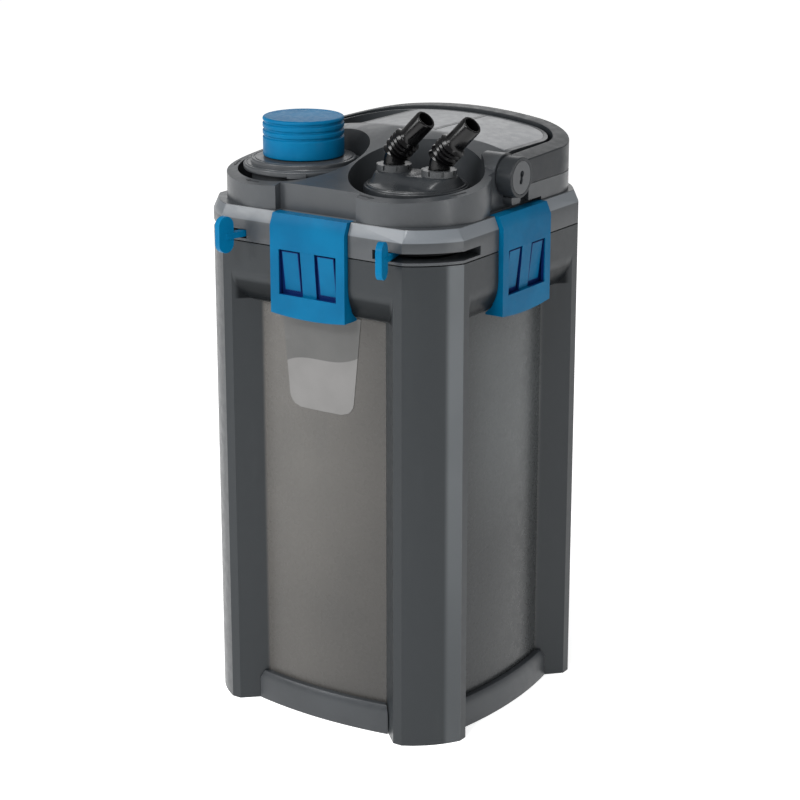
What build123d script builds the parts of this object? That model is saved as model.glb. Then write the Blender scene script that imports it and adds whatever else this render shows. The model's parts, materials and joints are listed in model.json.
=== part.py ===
from build123d import *
from math import cos, degrees, radians, sin, sqrt, tan
import os

# Canister filter: a square container with four corner posts, closed by a head that holds the
# pump, the prefilter, the hose adapter, four side latches and a folding carry handle.
# Millimetres, +Z up, origin at the centre of the underside, front face towards -Y.

# ---- driving dimensions: container ----
HALF = 115.1                # post faces, from the centre
CREASE = 82.5               # where a post face turns into its rounded corner
CORNER_BULGE = 3.4          # sagitta of the rounded corner
FLANGE_EDGE = 74.7          # inner edge of a post face
PANEL_EDGE = 56.5           # where the slanted return meets the recessed panel
PANEL_DEPTH = 98.0          # recessed panel at its edge
PANEL_BOW = 5.0             # outward bow of the panel at its middle
WALL = 3.0
FLOOR = 4.0
SEAM_Z = 380.0              # joint between container and head
COLLAR_LOW_Z = 330.5        # foot of the bowl-shaped collar
COLLAR_FLUSH_Z = 357.0      # collar is flush with the posts above this
THROAT_Z = 362.0            # underside of the sealing shelf
SHELF_Z = 372.0             # top of the sealing shelf
THROAT_HALF = 93.0
RIM_HALF = 99.0
LATCH_POCKET = 109.5        # depth of the latch pocket in the collar

# ---- driving dimensions: container fittings ----
SEAM_GAP, SEAM_DEPTH = 0.9, 2.5
LATCH_GAP = 0.7             # clearance at each side of a latch
FOOT_AT, FOOT_R, FOOT_DEPTH = 90.0, 12.0, 2.0
SKIRT_TOP_Z, SKIRT_EDGE_Z, SKIRT_CHAMFER = 23.5, 17.0, 3.0
SKIRT_MIDDLE, SKIRT_END, SKIRT_REACH = 110.5, 104.0, 66.0
SKIRT_GAP = 0.9
LABEL_LOW_Z, LABEL_HIGH_Z, LABEL_THICK = 253.0, 330.0, 0.4
LABEL_HALF_LOW, LABEL_HALF_HIGH = 28.5, 36.5

# ---- driving dimensions: filter media ----
BASKET_HALF, BASKET_HEIGHT, BASKET_WALL, BASKET_FLOOR = 90.0, 112.0, 2.2, 3.0
BASKET_LOW = {"bottom": 10.0, "middle": 124.0, "top": 238.0}
COLUMN_CLEAR_R = 44.0
TUBE_R, TUBE_BORE_R = 39.6, 37.2
CORE_R, CORE_BORE_R, FOAM_R = 12.0, 10.0, 34.0

# ---- driving dimensions: head ----
BAND_TOP_Z = 396.5          # top of the vertical lower band
LEDGE_Z = 405.7             # top of the band's chamfer
LEDGE_INSET = 4.0
TOWER_X, TOWER_Y, TOWER_R = 53.5, -53.5, 56.8
TOWER_EDGE, SIDE_EDGE = 36.9, 29.0      # crisp edges of the towers, front and sides
WELL_X, WELL_Y, WELL_R = 52.2, -51.0, 51.0
WELL_FLOOR_Z = 406.0
FRONT_WALL = 101.5          # recessed walls between the towers and behind them
REAR_HALF = 109.5           # rear block that carries the folded handle
REAR_START_Y = 16.0
REAR_CORNER_R = 46.0
HANDLE_SEAT_Z = 421.0
COWL_HALF, COWL_REAR_Y, COWL_CORNER_R = 92.5, 93.5, 30.0
DECK_FRONT_Z = 426.0        # deck height at the front wall, on the centre line
DECK_SLOPE = 0.267
DECK_CROWN, DECK_CROWN_GAIN = 2.0, 0.0833   # drop at CROWN_AT, and its growth along Y
COWL_Z = 455.0
COWL_CROWN = 9.0
CROWN_AT = 86.0
TOP_LIMIT_Z = 470.0
CAVITY_HALF, CAVITY_TOP_Z = 98.5, 401.0
SLOT_LOW_Z, SLOT_HIGH_Z = 382.0, 388.9  # lock lever slots
SLEEVE_R, SLEEVE_BORE_R = 40.0, 36.0
PLATE_LOW_Z = 376.0
TRIM_LEFT = (-42.0, 21.2)
TRIM_RIGHT = (24.8, 89.0)
TRIM_FRONT_Y, TRIM_REAR_Y, TRIM_THICK = 14.0, 91.0, 2.5
BAY_LEFT, BAY_RIGHT, BAY_FRONT_Y, BAY_REAR_Y = -88.0, -45.0, 15.0, 89.0
BAY_FLOOR_Z = 428.0
HEATER_AT, HEATER_R = (-66.0, 50.0), 15.0
GLAND_X, GLAND_Z, GLAND_R, CABLE_R = 53.0, 413.5, 6.6, 3.6
LUG_Y, LUG_Z, LUG_R = -1.3, 412.5, 6.5

# ---- driving dimensions: handle ----
PIVOT_Y, PIVOT_Z = -4.3, 430.2
FAIRING_R = 17.0
HUB_R, HUB_START, HUB_END = 15.5, 101.9, 115.5
CAP_R, CAP_THICK = 12.6, 1.6
PIVOT_PIN_R, PIVOT_START, PIVOT_END = 6.0, 86.0, 112.0
HANDLE_HALF, HANDLE_REAR_Y, HANDLE_WIDTH = 110.0, 110.0, 13.0
HANDLE_CORNER_R = 48.0
HANDLE_BOTTOM_Z = 421.4
HANDLE_TOP_Z, HANDLE_SLOPE, HANDLE_CROWN = 457.9, 0.03, 9.0
ARM_CLEAR_R = 17.6          # arms keep outside this radius round the pivot

# ---- driving dimensions: latches and lock levers ----
LATCH_FACE = 118.9
LATCH_HALF = 34.2
LATCH_LOW_Z, LATCH_SAG = 327.3, 2.2
LATCH_PLATE = 3.4
LATCH_PIN_Y, LATCH_PIN_Z, LATCH_PIN_R, LATCH_PIN_HALF = -110.5, 399.0, 2.0, 39.0
WINDOW_LOW_Z, WINDOW_HIGH_Z, WINDOW_HALF, BAR_HALF = 344.5, 379.0, 26.3, 6.5
LEVER_Z, LEVER_REACH, PADDLE_LIFT = 386.0, 82.8, 1.5
PADDLE_HEIGHT, PADDLE_WIDTH, PADDLE_THICK = 28.0, 14.6, 5.0
ADAPTER_LEVER_ANGLE, PREFILTER_LEVER_ANGLE = -73.6, -100.0
LOCK_RING_R = 45.5

# ---- driving dimensions: priming pump, hose adapter and tails, motor ----
LID_FLANGE_R, LID_RING_R = 46.5, 40.7
LID_FLANGE_LOW_Z, LID_FLANGE_HIGH_Z, LID_TOP_Z = 427.5, 432.0, 436.0
NECK_R, PISTON_BORE_R = 27.0, 23.0
KNOB_R, KNOB_LOW_Z, KNOB_TOP_Z = 31.3, 437.6, 467.5
KNOB_GROOVES = (453.0, 458.3, 463.4)
ADAPTER_R, ADAPTER_TOP_Z = 39.5, 426.0
DOME_R, DOME_FOOT_Z, DOME_RISE = 36.0, 427.2, 6.5
COLLAR_R, COLLAR_FOOT_Z, COLLAR_TOP_Z = 13.2, 434.8, 439.5
PORT_OFFSET = 20.2
TAIL_R, TAIL_NECK_R, TAIL_BORE_R = 8.0, 7.8, 6.0
ELBOW_Z, TAIL_LENGTH, TAIL_TILT = 446.7, 40.8, 45.0
BEND_R = 20.0
BEND_TANGENT = BEND_R * tan(radians(TAIL_TILT / 2))
BEND_START_Z, STRAIGHT_RUN = ELBOW_Z - BEND_TANGENT, TAIL_LENGTH - BEND_TANGENT
TAIL_RIB_R, TAIL_RIB_PITCH, TAIL_LAST_RIB = 10.8, 3.5, 24.6     # last rib is measured from the tip
MOTOR_X, MOTOR_Y = 0.0, 45.0
SHAFT_R, SHAFT_LOW_Z, SHAFT_HIGH_Z = 2.0, 367.0, 428.0
RUN = 0.05                  # radial clearance of a running fit
SIDES = {"front": 0, "right": 90, "rear": 180, "left": 270}

LOW = (Align.CENTER, Align.CENTER, Align.MIN)


def block(x0, x1, y0, y1, z0, z1):
    """Box between two opposite corners."""
    return Pos((x0 + x1) / 2, (y0 + y1) / 2, z0) * Box(x1 - x0, y1 - y0, z1 - z0, align=LOW)


def post(x, y, radius, z0, z1):
    """Upright cylinder."""
    return Pos(x, y, z0) * Cylinder(radius, z1 - z0, align=LOW)


def ring(x, y, outer, inner, z0, z1):
    """Upright ring."""
    return post(x, y, outer, z0, z1) - post(x, y, inner, z0, z1)


def axle(x0, x1, y, z, radius):
    """Cylinder lying along X."""
    return Pos(x0, y, z) * Rot(0, 90, 0) * Cylinder(radius, x1 - x0, align=LOW)


def hub_axle(side, near, far, radius):
    """Cylinder on the handle's pivot line, between two distances from the centre plane."""
    x0, x1 = sorted((side * near, side * far))
    return axle(x0, x1, PIVOT_Y, PIVOT_Z, radius)


def side_prism(points, x0, x1):
    """Polygon given as (y, z) points, extruded along X."""
    return extrude(Plane.YZ.offset(x0) * Polygon(*points, align=None), x1 - x0, dir=(1, 0, 0))


def front_prism(points, y0, y1):
    """Polygon given as (x, z) points, extruded along Y."""
    return extrude(Plane.XZ.offset(-y0) * Polygon(*points, align=None), y1 - y0, dir=(0, 1, 0))


def square(half, radius, z0, z1):
    """Upright square prism with rounded corners."""
    return extrude(Pos(0, 0, z0) * RectangleRounded(2 * half, 2 * half, radius), z1 - z0)


def turned(shape, angle):
    """Shape turned about the vertical centre line."""
    return Rot(0, 0, angle) * shape


def spin(point, angle):
    """Plan point turned about the origin."""
    c, s = cos(radians(angle)), sin(radians(angle))
    return (point[0] * c - point[1] * s, point[0] * s + point[1] * c)


def corner_arc(half, crease, turn):
    """Rounded corner between the front and right faces, turned about the origin."""
    middle = (half + crease) / 2 + CORNER_BULGE / sqrt(2)
    points = ((crease, -half), (middle, -middle), (half, -crease))
    return ThreePointArc(*(spin(point, turn) for point in points))


def square_plan(half, crease):
    """Square plan with large flat-arc corners."""
    edges = []
    for turn in SIDES.values():
        edges.append(corner_arc(half, crease, turn))
        edges.append(Line(spin((half, -crease), turn), spin((half, crease), turn)))
    return make_face(edges)


def posted_plan():
    """Square plan whose four faces are recessed between the corner posts."""
    edges = []
    for turn in SIDES.values():
        edges.append(corner_arc(HALF, CREASE, turn))
        outline = ((HALF, -CREASE), (HALF, -FLANGE_EDGE), (PANEL_DEPTH, -PANEL_EDGE))
        for start, end in zip(outline, outline[1:]):
            edges.append(Line(spin(start, turn), spin(end, turn)))
        bow = ((PANEL_DEPTH, -PANEL_EDGE), (PANEL_DEPTH + PANEL_BOW, 0), (PANEL_DEPTH, PANEL_EDGE))
        edges.append(ThreePointArc(*(spin(point, turn) for point in bow)))
        for start, end in zip(outline[::-1], outline[::-1][1:]):
            edges.append(Line(spin((start[0], -start[1]), turn), spin((end[0], -end[1]), turn)))
    return make_face(edges)


def above_arch(z, crown, y0, y1, slope):
    """Everything above a crowned surface: z on the centre line at y0, rising along +Y."""
    reach = 130.0
    drop = crown * (reach / CROWN_AT) ** 2
    lift = 120.0
    arc = ThreePointArc((-reach, y0, z - drop), (0, y0, z), (reach, y0, z - drop))
    sides = Polyline((reach, y0, z - drop), (reach, y0, z + lift), (-reach, y0, z + lift),
                     (-reach, y0, z - drop))
    face = make_face([arc] + sides.edges())
    return extrude(face, (y1 - y0) * sqrt(1 + slope ** 2), dir=(0, 1, slope))


# ---------------------------------------------------------------- container

def collar_fill():
    """Bowl-shaped collar between two posts: flush at the top, curving in to the panel."""
    inner = 90.0
    rise = COLLAR_FLUSH_Z - COLLAR_LOW_Z
    depth = HALF - PANEL_DEPTH
    bowl = EllipticalCenterArc((-PANEL_DEPTH, COLLAR_FLUSH_Z), depth, rise, start_angle=180, arc_size=90)
    rest = Polyline((-PANEL_DEPTH, COLLAR_LOW_Z), (-inner, COLLAR_LOW_Z), (-inner, SEAM_Z),
                    (-HALF, SEAM_Z), (-HALF, COLLAR_FLUSH_Z))
    profile = make_face([bowl] + rest.edges())
    return extrude(Plane.YZ.offset(-FLANGE_EDGE - 1) * profile, 2 * FLANGE_EDGE + 2, dir=(1, 0, 0))


def container_shell():
    plan = posted_plan()
    body = extrude(plan, SEAM_Z)
    for turn in SIDES.values():
        body += turned(collar_fill(), turn)
    body -= extrude(Pos(0, 0, FLOOR) * offset(plan, -WALL), THROAT_Z - FLOOR)
    body -= square(THROAT_HALF, 14, THROAT_Z - 1, SHELF_Z + 1)
    body -= square(RIM_HALF, 22, SHELF_Z, SEAM_Z)
    lip = square_plan(HALF + 5, CREASE) - square_plan(HALF - SEAM_DEPTH, CREASE - 1)
    body -= extrude(Pos(0, 0, SEAM_Z - SEAM_GAP) * lip, SEAM_GAP)
    half = LATCH_HALF + LATCH_GAP
    for turn in SIDES.values():
        pocket = block(-half, half, -HALF - 1, -LATCH_POCKET, COLLAR_LOW_Z - 5, SEAM_Z)
        catch = block(-18, 18, -LATCH_POCKET - 2.1, -LATCH_POCKET + 0.5, 349.5, 354)
        body -= turned(pocket, turn)
        body += turned(catch, turn)
    for x in (-FOOT_AT, FOOT_AT):
        for y in (-FOOT_AT, FOOT_AT):
            body -= post(x, y, FOOT_R, 0, FOOT_DEPTH)
    return body


def base_feet():
    return [post(x, y, FOOT_R, 0, FOOT_DEPTH) for x in (-FOOT_AT, FOOT_AT) for y in (-FOOT_AT, FOOT_AT)]


def skirt_plan(inset, z):
    """Plan of the bowed skirt, drawn at one height."""
    low, bow = -SKIRT_END + inset, -SKIRT_MIDDLE + inset
    arc = ThreePointArc((-SKIRT_REACH, low, z), (0, bow, z), (SKIRT_REACH, low, z))
    back = -PANEL_DEPTH + 4
    rest = Polyline((SKIRT_REACH, low, z), (SKIRT_REACH, back, z), (-SKIRT_REACH, back, z),
                    (-SKIRT_REACH, low, z))
    return make_face([arc] + rest.edges())


def base_skirt():
    """Curved trim between two posts at the foot of the front panel."""
    edge, top = skirt_plan(0, SKIRT_EDGE_Z), skirt_plan(SKIRT_CHAMFER, SKIRT_TOP_Z)
    skirt = extrude(skirt_plan(0, 0), SKIRT_EDGE_Z) + loft([edge, top], ruled=True)
    slant = (FLANGE_EDGE - PANEL_EDGE) / (HALF - PANEL_DEPTH)
    inner = PANEL_EDGE - SKIRT_GAP - 8 * slant
    outer = FLANGE_EDGE - SKIRT_GAP + 5 * slant
    for side in (-1, 1):
        points = [(side * inner, -PANEL_DEPTH + 8), (side * 90, -PANEL_DEPTH + 8),
                  (side * 90, -HALF - 5), (side * outer, -HALF - 5)]
        skirt -= extrude(Polygon(*points, align=None), SKIRT_TOP_Z + 1, dir=(0, 0, 1))
    return skirt - extrude(posted_plan(), SKIRT_TOP_Z + 1)


def label_plate():
    """Blank label plate that follows the bow of the front panel."""
    radius = (PANEL_EDGE ** 2 + PANEL_BOW ** 2) / (2 * PANEL_BOW)
    centre_y = -PANEL_DEPTH - PANEL_BOW + radius
    shell = ring(0, centre_y, radius + LABEL_THICK, radius, LABEL_LOW_Z, LABEL_HIGH_Z)
    outline = [(-LABEL_HALF_LOW, LABEL_LOW_Z), (LABEL_HALF_LOW, LABEL_LOW_Z),
               (LABEL_HALF_HIGH, LABEL_HIGH_Z), (-LABEL_HALF_HIGH, LABEL_HIGH_Z)]
    return shell & front_prism(outline, -PANEL_DEPTH - PANEL_BOW - 3, -PANEL_DEPTH + 6)


# ---------------------------------------------------------------- filter media

def basket(low):
    """Open basket with a slotted floor, notched for the prefilter column."""
    high = low + BASKET_HEIGHT
    outer = square(BASKET_HALF, 16, low, high)
    outer -= post(-WELL_X, WELL_Y, COLUMN_CLEAR_R, low, high)
    inner = square(BASKET_HALF - BASKET_WALL, 16 - BASKET_WALL, low + BASKET_FLOOR, high)
    inner -= post(-WELL_X, WELL_Y, COLUMN_CLEAR_R + BASKET_WALL, low, high)
    body = outer - inner
    for row in range(7):
        y = 10 + row * 11
        body -= block(-78, 78, y - 3, y + 3, low, low + BASKET_FLOOR)
    for row in range(7):
        y = -76 + row * 11
        body -= block(12, 78, y - 3, y + 3, low, low + BASKET_FLOOR)
    return body


def basket_foam(low):
    """Foam block that fills a basket, clear of its walls."""
    gap, high = 1.0, low + BASKET_HEIGHT - 10
    foam = square(BASKET_HALF - BASKET_WALL - gap, 13, low + 4, high)
    return foam - post(-WELL_X, WELL_Y, COLUMN_CLEAR_R + BASKET_WALL + gap, low, high)


def prefilter_tube():
    """Outer tube of the prefilter column, hung from the head's base plate."""
    tube = ring(-WELL_X, WELL_Y, TUBE_R, TUBE_BORE_R, 14, PLATE_LOW_Z)
    for level in range(4):
        for turn in (0, 90):
            slot = Rot(0, 0, turn) * block(-50, 50, -6, 6, 0, 3)
            tube -= Pos(-WELL_X, WELL_Y, 22 + level * 8) * slot
    return tube


def prefilter_core():
    """Perforated core that the prefilter foam slides over."""
    core = ring(-WELL_X, WELL_Y, CORE_R, CORE_BORE_R, 40, 396)
    core += ring(-WELL_X, WELL_Y, FOAM_R, CORE_BORE_R, 37, 40)
    for level in range(14):
        hole = Pos(-WELL_X, WELL_Y, 62 + level * 22)
        core -= hole * Rot(0, 90, 45 * (level % 2)) * Cylinder(4, 40)
    return core


def prefilter_foam():
    return [ring(-WELL_X, WELL_Y, FOAM_R, CORE_R + 0.4, 42 + 66 * k, 106 + 66 * k) for k in range(5)]


# ---------------------------------------------------------------- head

def rear_plan(half, rear_y, corner_r, start_y):
    """Rectangle with only its two rear corners rounded."""
    diagonal = corner_r * (1 - 1 / sqrt(2))
    right = ThreePointArc((half, rear_y - corner_r), (half - diagonal, rear_y - diagonal),
                          (half - corner_r, rear_y))
    left = ThreePointArc((-half + corner_r, rear_y), (-half + diagonal, rear_y - diagonal),
                         (-half, rear_y - corner_r))
    edges = [
        Line((-half, start_y), (half, start_y)),
        Line((half, start_y), (half, rear_y - corner_r)),
        right,
        Line((half - corner_r, rear_y), (-half + corner_r, rear_y)),
        left,
        Line((-half, rear_y - corner_r), (-half, start_y)),
    ]
    return make_face(edges)


def housing_block(z0, z1, rear, side_end):
    """Upper housing between two heights, with the given rear plan."""
    body = block(-TOWER_X, TOWER_X, -FRONT_WALL, side_end, z0, z1)
    body += block(-FRONT_WALL, FRONT_WALL, TOWER_Y, side_end, z0, z1)
    for side in (-1, 1):
        body += post(side * TOWER_X, TOWER_Y, TOWER_R, z0, z1)
    body -= block(-TOWER_EDGE, TOWER_EDGE, -HALF - 1, -FRONT_WALL, z0, z1)
    for side in (-1, 1):
        near, far = sorted((side * FRONT_WALL, side * (HALF + 1)))
        body -= block(near, far, -SIDE_EDGE, 40, z0, z1)
    return body + extrude(Pos(0, 0, z0) * rear, z1 - z0)


def deck_section(y):
    """Everything above the deck in one plane across X; the crown grows towards the rear."""
    reach, run = 130.0, y + FRONT_WALL
    top = DECK_FRONT_Z + DECK_SLOPE * run
    side_z = top - (DECK_CROWN + DECK_CROWN_GAIN * run) * (reach / CROWN_AT) ** 2
    arc = ThreePointArc((-reach, y, side_z), (0, y, top), (reach, y, side_z))
    rest = Polyline((reach, y, side_z), (reach, y, 560), (-reach, y, 560), (-reach, y, side_z))
    return make_face([arc] + rest.edges())


def slot_sector(side):
    """Curved slot at the seam that a lock lever swings through."""
    start, end = (-86.0, -8.0) if side > 0 else (-172.0, -96.3)
    centre = (side * WELL_X, WELL_Y)

    def at(radius, angle):
        return (centre[0] + radius * cos(radians(angle)), centre[1] + radius * sin(radians(angle)))

    outer, inner = 125.0, LOCK_RING_R + 1
    edges = [
        ThreePointArc(at(outer, start), at(outer, (start + end) / 2), at(outer, end)),
        Line(at(outer, end), at(inner, end)),
        ThreePointArc(at(inner, end), at(inner, (start + end) / 2), at(inner, start)),
        Line(at(inner, start), at(outer, start)),
    ]
    return extrude(Pos(0, 0, SLOT_LOW_Z) * make_face(edges), SLOT_HIGH_Z - SLOT_LOW_Z)


def trim_region(x0, x1):
    """Plan of a top trim plate, following the cowl's rounded rear corner."""
    plan = rear_plan(TRIM_RIGHT[1], TRIM_REAR_Y, COWL_CORNER_R - 3, TRIM_FRONT_Y)
    return extrude(Pos(0, 0, 430) * plan, 40) & block(x0, x1, TRIM_FRONT_Y, TRIM_REAR_Y, 430, TOP_LIMIT_Z)


def top_trim(x0, x1):
    """Thin plate let into the crowned top of the cowl."""
    roof = above_arch(COWL_Z, COWL_CROWN, -40, 130, 0)
    under = above_arch(COWL_Z - TRIM_THICK, COWL_CROWN, -40, 130, 0)
    return (trim_region(x0, x1) & under) - roof


def heater_bay():
    """Finger recess in the left rear of the cowl, open at the top."""
    plan = rear_plan(-BAY_LEFT, BAY_REAR_Y, COWL_CORNER_R - 4, BAY_FRONT_Y)
    bay = extrude(Pos(0, 0, BAY_FLOOR_Z) * plan, 60)
    return bay & block(BAY_LEFT, BAY_RIGHT, BAY_FRONT_Y, BAY_REAR_Y, BAY_FLOOR_Z, TOP_LIMIT_Z)


def upper_housing():
    """Towers, deck and cowl above the handle's seat."""
    cowl = rear_plan(COWL_HALF, COWL_REAR_Y, COWL_CORNER_R, -20)
    upper = housing_block(HANDLE_SEAT_Z - 1, TOP_LIMIT_Z, cowl, -10)
    upper -= loft([deck_section(-HALF - 1), deck_section(40)], ruled=True)
    return upper - above_arch(COWL_Z, COWL_CROWN, -130, 130, 0)


def head_housing():
    full, inset = square_plan(HALF, CREASE), square_plan(HALF - LEDGE_INSET, CREASE - 1.5)
    body = extrude(Pos(0, 0, SEAM_Z) * full, BAND_TOP_Z - SEAM_Z)
    body += loft([Pos(0, 0, BAND_TOP_Z) * full, Pos(0, 0, LEDGE_Z) * inset], ruled=True)
    low_rear = rear_plan(REAR_HALF, REAR_HALF, REAR_CORNER_R, REAR_START_Y)
    body += housing_block(LEDGE_Z - 1, HANDLE_SEAT_Z, low_rear, REAR_START_Y)
    body += upper_housing()
    for side in (-1, 1):
        body += hub_axle(side, 84, FRONT_WALL, FAIRING_R)
        x0, x1 = sorted((side * 100, side * (HALF - LEDGE_INSET - 2)))
        body += axle(x0, x1, LUG_Y, LUG_Z, LUG_R) - hub_axle(side, FRONT_WALL, HALF, HUB_R + 0.6)
        body -= post(side * WELL_X, WELL_Y, WELL_R, WELL_FLOOR_Z, 500)
    body -= square(CAVITY_HALF, 24, SEAM_Z, CAVITY_TOP_Z)
    pump_room = extrude(Pos(0, 0, CAVITY_TOP_Z - 1) * rear_plan(84, 85, COWL_CORNER_R - 8, 6), 60)
    body -= pump_room & block(-38, 84, 6, 85, CAVITY_TOP_Z - 1, 440)
    body -= pump_room & block(-84, -37, 6, 85, CAVITY_TOP_Z - 1, 423)
    for side in (-1, 1):
        body += post(side * WELL_X, WELL_Y, SLEEVE_R, SEAM_Z + 0.6, WELL_FLOOR_Z)
        body -= post(side * WELL_X, WELL_Y, SLEEVE_BORE_R, SEAM_Z - 1, 500)
        body -= hub_axle(side, PIVOT_START, HALF, PIVOT_PIN_R)
        body -= slot_sector(side)
    half = LATCH_HALF + LATCH_GAP
    for turn in SIDES.values():
        pocket = block(-half, half, -HALF - 1, -FRONT_WALL, SEAM_Z, LEDGE_Z + 3)
        pocket += axle(-LATCH_PIN_HALF, LATCH_PIN_HALF, LATCH_PIN_Y, LATCH_PIN_Z, LATCH_PIN_R)
        body -= turned(pocket, turn)
    body -= heater_bay()
    body -= post(*HEATER_AT, HEATER_R - 3, 400, 480)
    for x0, x1 in (TRIM_LEFT, TRIM_RIGHT):
        body -= top_trim(x0, x1)
    return body - Pos(GLAND_X, 80, GLAND_Z) * Rot(-90, 0, 0) * Cylinder(GLAND_R, 40, align=LOW)


def head_base_plate():
    """Plate under the head that carries the column, the lock rings and the pump."""
    plate = square(RIM_HALF - 0.3, 21.7, PLATE_LOW_Z, SEAM_Z)
    plate -= post(-WELL_X, WELL_Y, TUBE_BORE_R, PLATE_LOW_Z, SEAM_Z)
    plate -= post(WELL_X, WELL_Y, 12, PLATE_LOW_Z, SEAM_Z)
    plate -= post(MOTOR_X, MOTOR_Y, 33, PLATE_LOW_Z, SEAM_Z)
    return plate


def head_gasket():
    outer = square(RIM_HALF - 0.3, 21.7, SHELF_Z, PLATE_LOW_Z)
    return outer - square(THROAT_HALF + 0.5, 14, SHELF_Z, PLATE_LOW_Z)


def heater_plug():
    """Round blanking plug of the heater port, with a finger bar."""
    x, y = HEATER_AT
    plug = post(x, y, HEATER_R, BAY_FLOOR_Z, BAY_FLOOR_Z + 4)
    plug += post(x, y, HEATER_R - 3 - RUN, BAY_FLOOR_Z - 12, BAY_FLOOR_Z)
    return plug + block(x - 12, x + 12, y - 2, y + 2, BAY_FLOOR_Z + 4, BAY_FLOOR_Z + 10)


def cable_gland():
    """Cable inlet bush in the rear wall of the head."""
    place = Pos(GLAND_X, REAR_HALF, GLAND_Z) * Rot(-90, 0, 0)
    gland = Cylinder(GLAND_R + 1, 3, align=LOW) + Pos(0, 0, -14) * Cylinder(GLAND_R, 14, align=LOW)
    return place * (gland - Pos(0, 0, -15) * Cylinder(CABLE_R, 20, align=LOW))


# ---------------------------------------------------------------- pump

def motor_housing():
    """Potted stator with the rotor well open at its underside."""
    housing = post(MOTOR_X, MOTOR_Y, 35, 392, 430) + ring(MOTOR_X, MOTOR_Y, 38, 30, 388, 392)
    return housing - post(MOTOR_X, MOTOR_Y, 13.2, 392, 424) - post(MOTOR_X, MOTOR_Y, 5, 424, 428)


def impeller_cover():
    """Volute cup under the motor with the suction eye in its floor."""
    cup = ring(MOTOR_X, MOTOR_Y, 32.8, 29.8, 368, 387.8) + ring(MOTOR_X, MOTOR_Y, 30, 9, 368, 371)
    cup += block(-10, 10, MOTOR_Y - 1.5, MOTOR_Y + 1.5, 365, 368) + post(MOTOR_X, MOTOR_Y, 7, 365, 371)
    return cup - post(MOTOR_X, MOTOR_Y, 5, 367, 371)


def shaft_bushes():
    ends = ((SHAFT_LOW_Z, SHAFT_LOW_Z + 4), (SHAFT_HIGH_Z - 4, SHAFT_HIGH_Z))
    return [ring(MOTOR_X, MOTOR_Y, 5, SHAFT_R, z0, z1) for z0, z1 in ends]


def impeller_shaft():
    return post(MOTOR_X, MOTOR_Y, SHAFT_R, SHAFT_LOW_Z, SHAFT_HIGH_Z)


def impeller_rotor():
    return ring(MOTOR_X, MOTOR_Y, 12.6, SHAFT_R + RUN, 393, 423.5)


def impeller_wheel():
    """Six-blade wheel under a disc."""
    wheel = ring(MOTOR_X, MOTOR_Y, 27, SHAFT_R + RUN, 384, 386.5)
    wheel += ring(MOTOR_X, MOTOR_Y, 6, SHAFT_R + RUN, 372, 393)
    for blade in range(6):
        vane = block(4, 26, -1, 1, 373, 384.5)
        wheel += Pos(MOTOR_X, MOTOR_Y, 0) * Rot(0, 0, 60 * blade) * vane
    return wheel - post(MOTOR_X, MOTOR_Y, SHAFT_R + RUN, 365, 400)


# ---------------------------------------------------------------- prefilter lid and priming pump

def prefilter_lid():
    """Bayonet lid of the prefilter with the priming cylinder in its middle."""
    x, y = -WELL_X, WELL_Y
    lid = post(x, y, SLEEVE_R, WELL_FLOOR_Z, LID_FLANGE_LOW_Z)
    lid += post(x, y, LID_FLANGE_R, LID_FLANGE_LOW_Z, LID_FLANGE_HIGH_Z)
    lid += post(x, y, LID_RING_R, LID_FLANGE_HIGH_Z, LID_TOP_Z)
    lid += post(x, y, NECK_R, LID_TOP_Z, 452) + post(x, y, SLEEVE_BORE_R - 0.3, 398, WELL_FLOOR_Z)
    for k in range(3):
        lug = block(LID_FLANGE_R - 2, LID_FLANGE_R + 2.6, -7, 7, LID_FLANGE_LOW_Z, LID_FLANGE_LOW_Z + 3.5)
        lid += Pos(x, y, 0) * Rot(0, 0, 120 * k - 60) * lug
    lid -= post(x, y, PISTON_BORE_R, 402, 460)
    for k in range(4):
        lid -= Pos(x, y, 0) * Rot(0, 0, 90 * k) * post(12, 0, 3.5, 396, 403)
    return lid


def priming_knob():
    """Ribbed push-pull knob over the priming cylinder."""
    x, y = -WELL_X, WELL_Y
    knob = post(x, y, KNOB_R, KNOB_LOW_Z, KNOB_TOP_Z - 1.5)
    knob += Pos(x, y, KNOB_TOP_Z - 1.5) * Cone(KNOB_R, KNOB_R - 1.5, 1.5, align=LOW)
    for z in KNOB_GROOVES:
        knob -= ring(x, y, KNOB_R + 1, KNOB_R - 0.9, z - 0.7, z + 0.7)
    return knob - post(x, y, NECK_R + 0.6, KNOB_LOW_Z - 1, 460)


def priming_piston():
    """Stem and piston of the priming pump."""
    x, y = -WELL_X, WELL_Y
    return post(x, y, PISTON_BORE_R - RUN, 424, 430) + post(x, y, 5, 430, 460)


# ---------------------------------------------------------------- hose adapter

def port_x(side):
    return WELL_X + side * PORT_OFFSET


def hose_adapter():
    """Round adapter block with two upright ports under a low dome."""
    body = post(WELL_X, WELL_Y, ADAPTER_R, WELL_FLOOR_Z, ADAPTER_TOP_Z)
    body += post(WELL_X, WELL_Y, DOME_R + 1.5, ADAPTER_TOP_Z, DOME_FOOT_Z)
    body += post(WELL_X, WELL_Y, SLEEVE_BORE_R - 0.3, 388, WELL_FLOOR_Z)
    radius = (DOME_R ** 2 + DOME_RISE ** 2) / (2 * DOME_RISE)
    dome = Pos(WELL_X, WELL_Y, DOME_FOOT_Z + DOME_RISE - radius) * Sphere(radius)
    body += dome & post(WELL_X, WELL_Y, DOME_R, DOME_FOOT_Z - 1, DOME_FOOT_Z + DOME_RISE + 1)
    for side in (-1, 1):
        x = port_x(side)
        body += post(x, WELL_Y, COLLAR_R + 0.5, 418, COLLAR_FOOT_Z)
        body -= post(x, WELL_Y, 10.9, 420.5, 440)
        body -= post(x, WELL_Y, TAIL_R + RUN, 401, 440)
        body -= post(x, WELL_Y, TAIL_BORE_R, 380, 440)
    return body


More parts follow.
